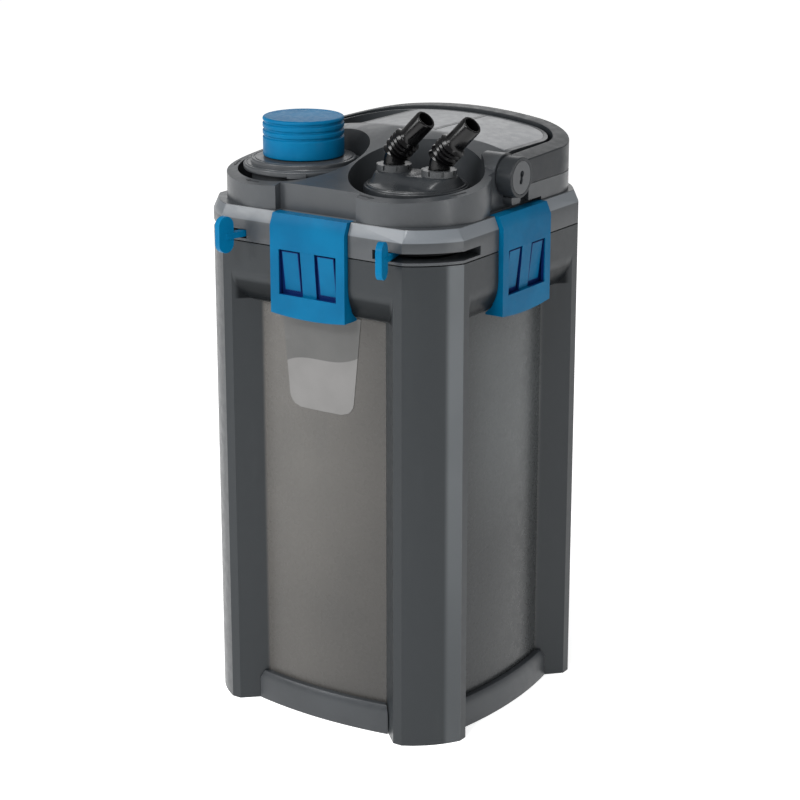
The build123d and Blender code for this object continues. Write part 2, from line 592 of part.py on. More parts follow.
def gland_collars():
    collars = []
    for side in (-1, 1):
        collar = ring(port_x(side), WELL_Y, COLLAR_R, TAIL_R + 0.4, COLLAR_FOOT_Z, COLLAR_TOP_Z)
        for k in range(8):
            notch = block(COLLAR_R - 1.4, COLLAR_R + 1, -1, 1, COLLAR_FOOT_Z + 1, COLLAR_TOP_Z)
            collar -= Pos(port_x(side), WELL_Y, 0) * Rot(0, 0, 45 * k) * notch
        collars.append(collar)
    return collars


def tail_seals():
    return [ring(port_x(side), WELL_Y, 10.8, TAIL_R + 0.1, 420.5, 423) for side in (-1, 1)]


def along_tail(x, to_tip):
    """Place on a tail's centre line, at a distance back from its tip."""
    if to_tip <= STRAIGHT_RUN:
        return Pos(x, WELL_Y, ELBOW_Z) * Rot(0, TAIL_TILT, 0) * Pos(0, 0, TAIL_LENGTH - to_tip)
    turn = TAIL_TILT - degrees((to_tip - STRAIGHT_RUN) / BEND_R)
    return Pos(x + BEND_R, WELL_Y, BEND_START_Z) * Rot(0, turn, 0) * Pos(-BEND_R, 0, 0)


def tail_solid(x, radius, low_z, tip):
    """Round bar along a tail's centre line: upright stub, bend and straight run."""
    middle = along_tail(x, STRAIGHT_RUN + radians(TAIL_TILT / 2) * BEND_R).position
    bend_end, end = along_tail(x, STRAIGHT_RUN).position, along_tail(x, -tip).position
    low, bend_start = Vector(x, WELL_Y, low_z), Vector(x, WELL_Y, BEND_START_Z)
    path = Wire([Edge.make_line(low, bend_start), Edge.make_three_point_arc(bend_start, middle, bend_end),
                 Edge.make_line(bend_end, end)])
    return sweep(Pos(low) * Circle(radius), path)


def hose_tail(side):
    """Swivelling elbow with hose ribs and an open plain tip."""
    x = port_x(side)
    tail = tail_solid(x, TAIL_NECK_R, 402, 0) + post(x, WELL_Y, TAIL_R, 402, 426)
    tail += post(x, WELL_Y, 10.5, 423.4, COLLAR_FOOT_Z - 0.4)
    tail += along_tail(x, TAIL_LAST_RIB - 0.6) * Cylinder(TAIL_R, TAIL_LAST_RIB - 0.6, align=LOW)
    for rib in range(5):
        place = along_tail(x, TAIL_LAST_RIB + TAIL_RIB_PITCH * rib)
        tail += place * Cone(TAIL_RIB_R, TAIL_NECK_R - 0.3, 2.6, align=LOW)
    return tail - tail_solid(x, TAIL_BORE_R, 400, 1)


# ---------------------------------------------------------------- lock levers

def lock_ring(side):
    return ring(side * WELL_X, WELL_Y, LOCK_RING_R, SLEEVE_R + 0.3, SEAM_Z + 1.2, 390)


def lock_lever(side, angle, lift):
    """Arm through the seam slot with an upright finger paddle."""
    arm = block(LOCK_RING_R, LEVER_REACH, -2.8, 2.8, LEVER_Z - 2.5, LEVER_Z + 2.2)
    outline = Pos(LEVER_REACH, LEVER_Z + lift) * SlotOverall(PADDLE_HEIGHT, PADDLE_WIDTH, rotation=90)
    paddle = extrude(Plane.XZ.offset(-PADDLE_THICK / 2) * outline, PADDLE_THICK)
    return Pos(side * WELL_X, WELL_Y, 0) * Rot(0, 0, angle) * (arm + paddle)


# ---------------------------------------------------------------- latches

def latch_cover():
    """Front latch cover: beam round the hinge pin, windowed plate and two side cheeks."""
    y_in = -LATCH_FACE + LATCH_PLATE
    outline = [(-LATCH_FACE, LATCH_LOW_Z), (-LATCH_FACE, BAND_TOP_Z), (-LATCH_FACE + 4, LEDGE_Z),
               (-106, LEDGE_Z), (-106, 394), (y_in, 393), (y_in, LATCH_LOW_Z)]
    cover = side_prism(outline, -LATCH_HALF, LATCH_HALF)
    cheek = [(y_in - 0.1, 394), (-110, 394), (-110, 338), (-109, 336), (-106, 333), (-103.7, 331.3),
             (-103.5, LATCH_LOW_Z), (y_in - 0.1, LATCH_LOW_Z)]
    cover += side_prism(cheek, -LATCH_HALF, -LATCH_HALF + 2.8)
    cover += side_prism(cheek, LATCH_HALF - 2.8, LATCH_HALF)
    radius = (LATCH_HALF ** 2 + LATCH_SAG ** 2) / (2 * LATCH_SAG)
    trim = block(-60, 60, -130, -100, LATCH_LOW_Z - 20, LATCH_LOW_Z + LATCH_SAG + 1)
    disc = Pos(0, -100, LATCH_LOW_Z + radius) * Rot(90, 0, 0) * Cylinder(radius, 30, align=LOW)
    cover -= trim - disc
    cover -= block(-WINDOW_HALF, WINDOW_HALF, -LATCH_FACE - 1, y_in + 1, WINDOW_LOW_Z, WINDOW_HIGH_Z)
    bar = [(-LATCH_FACE, WINDOW_HIGH_Z + 1), (y_in, WINDOW_HIGH_Z + 1), (y_in + 1.8, WINDOW_LOW_Z - 1),
           (y_in, WINDOW_LOW_Z - 1)]
    cover += side_prism(bar, -BAR_HALF, BAR_HALF)
    return cover - axle(-60, 60, LATCH_PIN_Y, LATCH_PIN_Z, LATCH_PIN_R + RUN)


def latch_hook():
    """Inner spring plate with two sloping finger pads and the hook nose."""
    inner = -112.3
    plate = side_prism([(inner, 343), (inner, 386), (-115.3, 386), (-115.3, 381), (-113.4, 343)], -30, 30)
    plate += block(-17, 17, inner - 0.1, -109.9, 344.5, 348.7)
    pad = [(inner - 0.2, 378), (-118.2, 378), (-114.4, 347), (inner - 0.2, 347)]
    for x0, x1 in ((-24.0, -8.5), (8.5, 24.0)):
        plate += side_prism(pad, x0, x1)
    return plate


def latch_pins():
    pin = axle(-LATCH_PIN_HALF, LATCH_PIN_HALF, LATCH_PIN_Y, LATCH_PIN_Z, LATCH_PIN_R)
    return [turned(pin, turn) for turn in SIDES.values()]


# ---------------------------------------------------------------- handle

def carry_handle():
    """U-shaped band with a hub disc at each end, folded back round the cowl."""
    inner_half, inner_rear = HANDLE_HALF - HANDLE_WIDTH, HANDLE_REAR_Y - HANDLE_WIDTH
    outer = rear_plan(HANDLE_HALF, HANDLE_REAR_Y, HANDLE_CORNER_R, PIVOT_Y)
    inner = rear_plan(inner_half, inner_rear, HANDLE_CORNER_R - HANDLE_WIDTH, PIVOT_Y)
    band = extrude(Pos(0, 0, HANDLE_BOTTOM_Z) * (outer - inner), 50)
    y_low = -40.0
    top = HANDLE_TOP_Z - HANDLE_SLOPE * (HANDLE_REAR_Y - y_low)
    band -= above_arch(top, HANDLE_CROWN, y_low, 130, HANDLE_SLOPE)
    for side in (-1, 1):
        band -= hub_axle(side, inner_half - 2, HUB_START, ARM_CLEAR_R)
        band += hub_axle(side, HUB_START, HUB_END, HUB_R)
        band -= hub_axle(side, inner_half, PIVOT_END + 0.3, PIVOT_PIN_R + RUN)
        band -= hub_axle(side, HUB_END - CAP_THICK, HUB_END + 1, CAP_R)
    return band


def handle_caps():
    """Round hub caps with a key-shaped tool slot."""
    caps = []
    for side in (-1, 1):
        x0, x1 = sorted((side * (HUB_END - CAP_THICK), side * HUB_END))
        cap = axle(x0, x1, PIVOT_Y, PIVOT_Z, CAP_R)
        cap -= axle(x0, x1, PIVOT_Y + 0.6, PIVOT_Z + 2.6, 2.6)
        cap -= axle(x0, x1, PIVOT_Y - 0.6, PIVOT_Z - 3, 2.1)
        cap -= block(x0, x1, PIVOT_Y - 1.6, PIVOT_Y + 1.6, PIVOT_Z - 2.8, PIVOT_Z + 2.4)
        caps.append(cap)
    return caps


def handle_pivots():
    return [hub_axle(side, PIVOT_START, PIVOT_END, PIVOT_PIN_R) for side in (-1, 1)]


# ---------------------------------------------------------------- write every piece

nodes = {}
nodes["container_shell"] = container_shell()
nodes["base_feet"] = base_feet()
nodes["label_plate"] = label_plate()
front_skirt = base_skirt()
for place, turn in SIDES.items():
    nodes["base_skirt_" + place] = turned(front_skirt, turn)
for place, low in BASKET_LOW.items():
    nodes["basket_" + place] = basket(low)
    nodes["basket_foam_" + place] = basket_foam(low)
nodes["prefilter_tube"] = prefilter_tube()
nodes["prefilter_core"] = prefilter_core()
nodes["prefilter_foam"] = prefilter_foam()
nodes["head_housing"] = head_housing()
nodes["head_base_plate"] = head_base_plate()
nodes["head_gasket"] = head_gasket()
nodes["top_trim_left"] = top_trim(*TRIM_LEFT)
nodes["top_trim_right"] = top_trim(*TRIM_RIGHT)
nodes["heater_plug"] = heater_plug()
nodes["cable_gland"] = cable_gland()
nodes["motor_housing"] = motor_housing()
nodes["impeller_cover"] = impeller_cover()
nodes["shaft_bushes"] = shaft_bushes()
nodes["impeller_shaft"] = impeller_shaft()
nodes["impeller_rotor"] = impeller_rotor()
nodes["impeller_wheel"] = impeller_wheel()
nodes["prefilter_lid"] = prefilter_lid()
nodes["priming_knob"] = priming_knob()
nodes["priming_piston"] = priming_piston()
nodes["hose_adapter"] = hose_adapter()
nodes["gland_collars"] = gland_collars()
nodes["tail_seals"] = tail_seals()
nodes["inlet_tail"] = hose_tail(-1)
nodes["outlet_tail"] = hose_tail(1)
nodes["adapter_lock_ring"] = lock_ring(1)
nodes["adapter_lock_lever"] = lock_lever(1, ADAPTER_LEVER_ANGLE, 0)
nodes["prefilter_lock_ring"] = lock_ring(-1)
nodes["prefilter_lock_lever"] = lock_lever(-1, PREFILTER_LEVER_ANGLE, PADDLE_LIFT)
front_cover, front_hook = latch_cover(), latch_hook()
for place, turn in SIDES.items():
    nodes["latch_cover_" + place] = turned(front_cover, turn)
    nodes["latch_hook_" + place] = turned(front_hook, turn)
nodes["latch_pins"] = latch_pins()
nodes["carry_handle"] = carry_handle()
nodes["handle_caps"] = handle_caps()
nodes["handle_pivots"] = handle_pivots()

os.makedirs("parts", exist_ok=True)
for name, shape in nodes.items():
    if isinstance(shape, list):
        shape = Compound(children=[Part() + piece for piece in shape])
    export_step(shape, "parts/" + name + ".step")
print(len(nodes), "nodes")
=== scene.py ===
import json
import math
import bmesh
import bpy
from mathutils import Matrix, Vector


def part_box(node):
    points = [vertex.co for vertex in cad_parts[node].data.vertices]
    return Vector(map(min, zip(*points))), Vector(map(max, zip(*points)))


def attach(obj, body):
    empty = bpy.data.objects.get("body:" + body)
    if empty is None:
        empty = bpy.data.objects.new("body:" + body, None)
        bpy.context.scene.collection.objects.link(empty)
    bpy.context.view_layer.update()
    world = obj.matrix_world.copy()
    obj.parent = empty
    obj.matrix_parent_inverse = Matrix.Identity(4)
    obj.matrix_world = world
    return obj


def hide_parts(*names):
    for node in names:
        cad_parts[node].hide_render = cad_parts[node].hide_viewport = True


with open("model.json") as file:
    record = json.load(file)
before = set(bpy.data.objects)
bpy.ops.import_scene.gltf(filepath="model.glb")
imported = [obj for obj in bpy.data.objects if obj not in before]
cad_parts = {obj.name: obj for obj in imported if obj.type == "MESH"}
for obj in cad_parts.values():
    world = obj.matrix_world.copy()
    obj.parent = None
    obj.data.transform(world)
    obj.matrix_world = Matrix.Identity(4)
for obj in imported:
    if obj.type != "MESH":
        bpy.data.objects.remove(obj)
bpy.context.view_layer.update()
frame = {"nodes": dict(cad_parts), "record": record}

MM = 0.001
NODES = frame["nodes"]
BODY_OF = {
    node: body
    for body, members in frame["record"]["behaviour"]["bodies"].items()
    for node in members
}
SLOT_OF = {part["node"]: part["material_slot"] for part in frame["record"]["subparts"]}
SIDES = ("front", "right", "rear", "left")
# middles of the two round wells in the head, as (x, y)
LEFT_WELL, RIGHT_WELL = (-0.0522, -0.051), (0.0522, -0.051)


# ---------------------------------------------------------------- materials

def linear(red, green, blue):
    """Screen colour from 0 to 255 as linear light."""
    out = []
    for value in (red, green, blue):
        c = value / 255
        out.append(c / 12.92 if c <= 0.04045 else ((c + 0.055) / 1.055) ** 2.4)
    return (*out, 1.0)


class Graph:
    """Shorthand for building one node material."""

    def __init__(self, name):
        self.material = bpy.data.materials.new(name)
        self.material.use_nodes = True
        self.nodes = self.material.node_tree.nodes
        self.links = self.material.node_tree.links
        self.shader = self.nodes["Principled BSDF"]
        self.place = self.nodes.new("ShaderNodeTexCoord").outputs["Object"]

    def link(self, source, target):
        self.links.new(source, target)

    def noise(self, scale, detail=3.0, roughness=0.5, stretch=None):
        node = self.nodes.new("ShaderNodeTexNoise")
        node.inputs["Scale"].default_value = scale
        node.inputs["Detail"].default_value = detail
        node.inputs["Roughness"].default_value = roughness
        place = self.place
        if stretch:
            mapping = self.nodes.new("ShaderNodeMapping")
            mapping.inputs["Scale"].default_value = stretch
            self.link(self.place, mapping.inputs["Vector"])
            place = mapping.outputs["Vector"]
        self.link(place, node.inputs["Vector"])
        return node.outputs["Fac"]

    def ramp(self, source, low, high, out_low, out_high):
        node = self.nodes.new("ShaderNodeMapRange")
        node.interpolation_type = "SMOOTHSTEP"
        node.inputs["From Min"].default_value = low
        node.inputs["From Max"].default_value = high
        node.inputs["To Min"].default_value = out_low
        node.inputs["To Max"].default_value = out_high
        self.link(source, node.inputs["Value"])
        return node.outputs["Result"]

    def mix(self, factor, first, second):
        node = self.nodes.new("ShaderNodeMix")
        node.data_type = "RGBA"
        self.link(factor, node.inputs[0])
        for socket, value in ((node.inputs[6], first), (node.inputs[7], second)):
            if isinstance(value, tuple):
                socket.default_value = value
            else:
                self.link(value, socket)
        return node.outputs[2]

    def math(self, operation, first, second=None):
        node = self.nodes.new("ShaderNodeMath")
        node.operation = operation
        for socket, value in zip(node.inputs, (first, second)):
            if value is None:
                continue
            if isinstance(value, (int, float)):
                socket.default_value = value
            else:
                self.link(value, socket)
        return node.outputs[0]

    def product(self, first, second):
        return self.math("MULTIPLY", first, second)

    def band(self, source, rise, fall):
        """1 between the rise and the fall, each given as (from, to), and 0 outside them."""
        return self.product(self.ramp(source, *rise, 0, 1), self.ramp(source, *fall, 1, 0))

    def axes(self):
        node = self.nodes.new("ShaderNodeSeparateXYZ")
        self.link(self.place, node.inputs[0])
        return node.outputs

    def bump(self, heights):
        """Chains bumps, given as (height, distance in metres, strength)."""
        normal = None
        for height, distance, strength in heights:
            node = self.nodes.new("ShaderNodeBump")
            node.inputs["Strength"].default_value = strength
            node.inputs["Distance"].default_value = distance
            self.link(height, node.inputs["Height"])
            if normal:
                self.link(normal, node.inputs["Normal"])
            normal = node.outputs["Normal"]
        self.link(normal, self.shader.inputs["Normal"])


def shade(colour, factor):
    return (*(channel * factor for channel in colour[:3]), 1.0)


def moulded(name, colour, roughness, grain=0.00004, grain_scale=2600, mottle=0.10, specular=0.5):
    """Moulded plastic: fine spark grain, faint flow mottling and uneven gloss."""
    g = Graph(name)
    broad = g.noise(14, 3)
    fine = g.noise(160, 4, 0.6)
    tone = g.mix(g.ramp(broad, 0.35, 0.65, 0, 1), shade(colour, 1 - mottle), shade(colour, 1 + mottle))
    tone = g.mix(g.ramp(fine, 0.45, 0.75, 0, 0.35), tone, shade(colour, 1 + 2 * mottle))
    g.link(tone, g.shader.inputs["Base Color"])
    g.link(g.ramp(fine, 0.3, 0.7, roughness - 0.05, roughness + 0.06), g.shader.inputs["Roughness"])
    g.shader.inputs["Specular IOR Level"].default_value = specular
    g.bump([(g.noise(grain_scale, 2), grain, 0.6), (g.noise(38, 2), 0.0004, 0.12)])
    return g.material


def across_and_depth(g):
    """Distance across a side from its middle, distance out from the body's axis, and height, on any side."""
    x, y, z = g.axes()
    wide, deep = g.math("ABSOLUTE", x), g.math("ABSOLUTE", y)
    return g.math("MINIMUM", wide, deep), g.math("MAXIMUM", wide, deep), z


# heights of the head's chamfered lower band, which gets a painted highlight, as (rise from, rise to), (fall
# from, fall to)
CHAMFER_Z = (0.3961, 0.3969), (0.4050, 0.4058)


def head_plastic():
    """Satin moulded grey, with a painted highlight along the head's chamfer."""
    base = linear(58, 61, 64)
    g = Graph("head_plastic")
    x, _, z = g.axes()
    fine = g.noise(160, 4, 0.6)
    tone = g.mix(g.ramp(g.noise(14, 3), 0.35, 0.65, 0, 1), shade(base, 0.9), shade(base, 1.1))
    tone = g.mix(g.ramp(fine, 0.45, 0.75, 0, 0.35), tone, shade(base, 1.2))
    # painted highlight along the chamfer, stronger towards +x
    chamfer_highlight = g.product(g.band(z, *CHAMFER_Z), g.ramp(x, 0, 0.09, 0.6, 1))
    tone = g.mix(chamfer_highlight, tone, shade(base, 3.4))
    g.link(tone, g.shader.inputs["Base Color"])
    g.link(g.ramp(fine, 0.3, 0.7, 0.28, 0.38), g.shader.inputs["Roughness"])
    g.bump([(g.noise(2600, 2), 0.00004, 0.6), (g.noise(38, 2), 0.0004, 0.12)])
    return g.material


# painted light: the front and rear panels' lit tone and the side panels' shaded tone
SHADED_SIDE_TONE = linear(72, 75, 76)
LIT_PANEL_TONE = linear(90, 88, 85)
# the recessed panels: half width, depth and top edge, each as the span over which the tone fades out
PANEL_HALF, PANEL_DEPTH, PANEL_TOP = (0.0565, 0.0585), (0.1032, 0.1042), (0.3305, 0.3335)


def panel_tone_and_painted_light(g, base):
    """Warmer tone on the recessed front and rear panels, cooler and darker on the side panels, the
    difference being painted light: painted shade darkens the front and rear panels towards +x and towards
    the bottom, and the dark side panels carry a painted sheen in their middle.
    """
    x, y, z = g.axes()
    wide, deep = g.math("ABSOLUTE", x), g.math("ABSOLUTE", y)
    across, depth = g.math("MINIMUM", wide, deep), g.math("MAXIMUM", wide, deep)
    inside = g.product(g.ramp(across, *PANEL_HALF, 1, 0), g.ramp(depth, *PANEL_DEPTH, 1, 0))
    inside = g.product(inside, g.ramp(z, *PANEL_TOP, 1, 0))
    # painted shade: darker towards +x and towards the bottom
    front = g.mix(g.ramp(x, -0.03, 0.06, 0, 1), LIT_PANEL_TONE, shade(LIT_PANEL_TONE, 0.66))
    front = g.mix(g.ramp(z, 0.06, 0.24, 0.55, 0), front, shade(LIT_PANEL_TONE, 0.5))
    # painted sheen on the side panels, brightest at mid height and in the middle, darker towards the edges
    painted_side_sheen = g.product(g.ramp(z, 0.12, 0.25, 0, 1), g.ramp(z, 0.29, 0.34, 1, 0.25))
    painted_side_sheen = g.product(painted_side_sheen, g.ramp(across, 0.018, 0.058, 1, 0.45))
    side = g.mix(painted_side_sheen, shade(SHADED_SIDE_TONE, 0.45), shade(SHADED_SIDE_TONE, 1.1))
    # lit tone on the front and rear panels, shaded tone on the side panels
    lit_and_shaded_panels = g.mix(g.ramp(g.math("SUBTRACT", wide, deep), -0.01, 0.01, 0, 1), front, side)
    return g.mix(inside, base, lit_and_shaded_panels), inside


# the collar between the posts, where shade is painted: heights of its rise and fall, its face's depth and
# its half width
BOWL_Z, BOWL_DEPTH, BOWL_HALF = ((0.3325, 0.3335), (0.336, 0.372)), (0.1140, 0.1148), (0.070, 0.074)
# the painted highlight strip down each post's outer corner, as distances from the body's axis
HIGHLIGHT_STRIP_X, HIGHLIGHT_STRIP_Y = (0.1068, 0.1098), (0.0815, 0.0827)


def container_plastic():
    """Satin dark grey with toned panels that carry painted light, painted shade on the collar and a painted
    highlight down each post's corner.
    """
    base = linear(37, 41, 44)
    g = Graph("container_plastic")
    tone, inside = panel_tone_and_painted_light(g, base)
    across, depth, z = across_and_depth(g)
    bowl_shade = g.product(g.band(z, *BOWL_Z), g.ramp(depth, *BOWL_DEPTH, 1, 0))
    bowl_shade = g.product(bowl_shade, g.ramp(across, *BOWL_HALF, 1, 0))
    # painted shade on the collar between the posts
    tone = g.mix(bowl_shade, tone, shade(base, 0.35))
    x, y, _ = g.axes()
    # painted highlight down each post's outer corner, fainter towards the bottom
    at_side = g.ramp(g.math("ABSOLUTE", x), *HIGHLIGHT_STRIP_X, 0, 1)
    corner_highlight = g.product(at_side, g.ramp(g.math("ABSOLUTE", y), *HIGHLIGHT_STRIP_Y, 0, 1))
    corner_highlight = g.product(corner_highlight, g.ramp(z, 0.02, 0.30, 0.5, 0.95))
    tone = g.mix(corner_highlight, tone, linear(90, 94, 97))
    broad = g.ramp(g.noise(9, 3), 0.35, 0.65, 0, 0.16)
    tone = g.mix(broad, tone, linear(34, 38, 41))
    streak = g.ramp(g.noise(60, 4, 0.55, (1, 1, 0.12)), 0.55, 0.8, 0, 0.16)
    tone = g.mix(streak, tone, linear(62, 65, 67))
    g.link(tone, g.shader.inputs["Base Color"])
    fine = g.noise(150, 4, 0.6)
    rough = g.math("SUBTRACT", g.ramp(fine, 0.3, 0.7, 0.29, 0.38), g.product(inside, 0.05))
    g.link(rough, g.shader.inputs["Roughness"])
    # less specular on the collar, so that its painted shade stays dark
    gloss = g.math("SUBTRACT", 1, g.product(bowl_shade, 0.85))
    g.link(g.product(gloss, 0.3), g.shader.inputs["Specular IOR Level"])
    g.bump([(g.noise(2400, 2), 0.00004, 0.5), (g.noise(22, 2), 0.0006, 0.1)])
    return g.material


def blue_plastic(name, shade_in_gaps=None, level=1.0):
    """Semi-gloss blue; on the latches, painted shade darkens the gaps inside the finger windows to deep
    violet-blue.
    """
    g = Graph(name)
    broad = g.noise(26, 3)
    low, high = shade(linear(0, 92, 134), level), shade(linear(0, 103, 146), level)
    tone = g.mix(g.ramp(broad, 0.35, 0.7, 0, 1), low, high)
    if shade_in_gaps:
        # painted shade in the latch's recessed gaps
        tone = g.mix(shade_in_gaps(g), tone, linear(12, 36, 88))
    g.link(tone, g.shader.inputs["Base Color"])
    fine = g.noise(260, 4, 0.6)
    g.link(g.ramp(fine, 0.3, 0.7, 0.34, 0.46), g.shader.inputs["Roughness"])
    g.shader.inputs["Specular IOR Level"].default_value = 0.08
    g.bump([(g.noise(3200, 2), 0.00003, 0.5)])
    return g.material


# a latch's finger windows, whose inner faces get painted shade: distance across the latch, height and depth
# of the inner faces
WINDOW_ACROSS, WINDOW_Z = ((0.0062, 0.0063), (0.0267, 0.0268)), ((0.3441, 0.3442), (0.3794, 0.3795))
WINDOW_DEPTH = (0.1176, 0.1184)
# the finger pads that stand in the windows, left out of the painted shade on the hook's plate
PAD_ACROSS, PAD_Z = ((0.0090, 0.0096), (0.0230, 0.0236)), ((0.3474, 0.3484), (0.3772, 0.3776))


def window_gap_shade(g):
    """1 on the inner faces of a latch cover's two finger windows, where shade is painted."""
    across, depth, z = across_and_depth(g)
    zone = g.product(g.band(across, *WINDOW_ACROSS), g.band(z, *WINDOW_Z))
    return g.product(zone, g.ramp(depth, *WINDOW_DEPTH, 1, 0))


def pad_gap_shade(g):
    """1 on a latch hook's plate, where shade is painted round the pads, 0 on its two finger pads."""
    across, _, z = across_and_depth(g)
    return g.math("SUBTRACT", 1, g.product(g.band(across, *PAD_ACROSS), g.band(z, *PAD_Z)))


def foam(name, colour):
    """Open-cell filter foam: pale cell walls round pits darkened by painted shade."""
    g = Graph(name)
    cells = g.nodes.new("ShaderNodeTexVoronoi")
    cells.inputs["Scale"].default_value = 420
    g.link(g.place, cells.inputs["Vector"])
    depth = cells.outputs["Distance"]
    # painted shade: darker towards the middle of each cell's pit
    g.link(g.mix(g.ramp(depth, 0.1, 0.7, 0, 1), shade(colour, 0.35), colour), g.shader.inputs["Base Color"])
    g.shader.inputs["Roughness"].default_value = 0.95
    g.bump([(depth, 0.0012, 0.9)])
    return g.material


def steel():
    """Ground steel, brushed along x."""
    g = Graph("shaft_steel")
    brushed = g.noise(900, 3, 0.5, (0.05, 1, 1))
    g.link(g.mix(brushed, linear(150, 152, 156), linear(205, 206, 208)), g.shader.inputs["Base Color"])
    g.shader.inputs["Metallic"].default_value = 1.0
    g.link(g.ramp(brushed, 0.3, 0.7, 0.22, 0.38), g.shader.inputs["Roughness"])
    g.bump([(brushed, 0.00002, 0.4)])
    return g.material


# the parting line's height at the label's middle, and its rise as this times x cubed
LABEL_WAVE_Z, LABEL_WAVE_CUBIC = 0.2933, 160.0


def label_print():
    """Blank two-tone label: darker top, lighter foot, parted by one slow S-curve."""
    g = Graph("label_print")
    x, _, z = g.axes()
    wave = g.product(g.product(g.product(x, x), x), LABEL_WAVE_CUBIC)
    above = g.math("SUBTRACT", g.math("SUBTRACT", z, LABEL_WAVE_Z), wave)
    top = g.ramp(above, -0.0001, 0.0001, 0, 1)
    pale = g.mix(g.ramp(g.noise(30, 3), 0.3, 0.7, 0, 1), linear(106, 105, 104), linear(113, 112, 111))
    dark = g.mix(g.ramp(g.noise(45, 3), 0.3, 0.7, 0, 1), linear(72, 72, 71), linear(78, 78, 77))
    g.link(g.mix(top, pale, dark), g.shader.inputs["Base Color"])
    g.link(g.ramp(g.noise(300, 3), 0.3, 0.7, 0.32, 0.42), g.shader.inputs["Roughness"])
    g.bump([(g.noise(1800, 2), 0.00002, 0.4)])
    return g.material


# finish of each material slot, then of single nodes that differ from their slot's finish
MATERIALS = {
    "container_plastic": container_plastic(),
    "head_plastic": head_plastic(),
    "trim_plastic": moulded("trim_plastic", linear(116, 118, 121), 0.34, mottle=0.05),
    "blue_plastic": blue_plastic("blue_plastic"),
    "gloss_black": moulded("gloss_black", linear(6, 6, 7), 0.19, 0.00001, mottle=0.2, specular=0.32),
    "inner_plastic": moulded("inner_plastic", linear(36, 38, 40), 0.5),
    "label": label_print(),
    "rubber": moulded("rubber", linear(30, 30, 31), 0.75, 0.00008, 1500, specular=0.3),
    "motor_resin": moulded("motor_resin", linear(48, 48, 52), 0.55),
    "shaft_steel": steel(),
    "blue_foam": foam("blue_foam", linear(40, 96, 150)),
    "orange_foam": foam("orange_foam", linear(214, 120, 44)),
}
FINISH_OF = {
    "hose_adapter": moulded("adapter_plastic", linear(40, 43, 46), 0.31),
    "gland_collars": moulded("collar_plastic", linear(66, 68, 70), 0.34),
    "carry_handle": moulded("handle_plastic", linear(39, 42, 45), 0.36, specular=0.22),
}
LATCH_LEVEL = 0.84
COVER_BLUE = blue_plastic("cover_blue", window_gap_shade, LATCH_LEVEL)
HOOK_BLUE = blue_plastic("hook_blue", pad_gap_shade, LATCH_LEVEL)
SKIRT_GREY = moulded("skirt_plastic", linear(54, 57, 60), 0.33, specular=0.35)
for side in SIDES:
    FINISH_OF["base_skirt_" + side] = SKIRT_GREY
    FINISH_OF["latch_cover_" + side] = COVER_BLUE
    FINISH_OF["latch_hook_" + side] = HOOK_BLUE
for node, obj in NODES.items():
    obj.data.materials.clear()
    obj.data.materials.append(MATERIALS[SLOT_OF[node]])


# ---------------------------------------------------------------- mesh helpers

def place_piece(obj, node, also=()):
    """Rides the piece on the node's body, gives it the node's finish and hides the node."""
    obj.data.materials.clear()
    obj.data.materials.append(FINISH_OF.get(node, MATERIALS[SLOT_OF[node]]))
    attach(obj, BODY_OF[node])
    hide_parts(node, *also)
    return obj


def new_object(name, vertices, faces):
    mesh = bpy.data.meshes.new(name)
    mesh.from_pydata(vertices, [], faces)
    mesh.update()
    obj = bpy.data.objects.new(name, mesh)
    bpy.context.scene.collection.objects.link(obj)
    return obj


def polar(centre, radius, angle):
    """Point at a radius and an angle in radians from a centre, as its two coordinates."""
    return centre[0] + radius * math.cos(angle), centre[1] + radius * math.sin(angle)


def smooth(mesh, degrees=35):
    mesh.polygons.foreach_set("use_smooth", [True] * len(mesh.polygons))
    mesh.set_sharp_from_angle(angle=math.radians(degrees))


def bake_modifiers(obj):
    """Applies the object's modifiers to its mesh."""
    bpy.context.view_layer.update()
    graph = bpy.context.evaluated_depsgraph_get()
    done = bpy.data.meshes.new_from_object(obj.evaluated_get(graph))
    obj.modifiers.clear()
    old, obj.data = obj.data, done
    bpy.data.meshes.remove(old)


# vertices closer than this, in metres, are welded; faces that meet flatter than this are merged
WELD_DISTANCE, FLAT_DEGREES = 2e-6, 0.4
BEVEL_SEGMENTS, BEVEL_DEGREES = 2, 28


def softened(node, width):
    """Copy of a CAD node with welded seams and rounded edges, standing for the node."""
    source = NODES[node].data
    bm = bmesh.new()
    bm.from_mesh(source)
    bmesh.ops.remove_doubles(bm, verts=bm.verts, dist=WELD_DISTANCE)
    bmesh.ops.dissolve_limit(bm, angle_limit=math.radians(FLAT_DEGREES), verts=bm.verts, edges=bm.edges)
    vertices = [vertex.co.copy() for vertex in bm.verts]
    bm.verts.index_update()
    faces = [[vertex.index for vertex in face.verts] for face in bm.faces]
    bm.free()
    obj = new_object(node + "_soft", vertices, faces)
    bevel = obj.modifiers.new("edges", "BEVEL")
    bevel.width = width * MM
    bevel.segments = BEVEL_SEGMENTS
    bevel.limit_method = "ANGLE"
    bevel.angle_limit = math.radians(BEVEL_DEGREES)
    bevel.use_clamp_overlap = True
    bevel.miter_outer = "MITER_ARC"
    bake_modifiers(obj)
    smooth(obj.data)
    weight = obj.modifiers.new("normals", "WEIGHTED_NORMAL")
    weight.keep_sharp = True
    bake_modifiers(obj)
    return place_piece(obj, node)


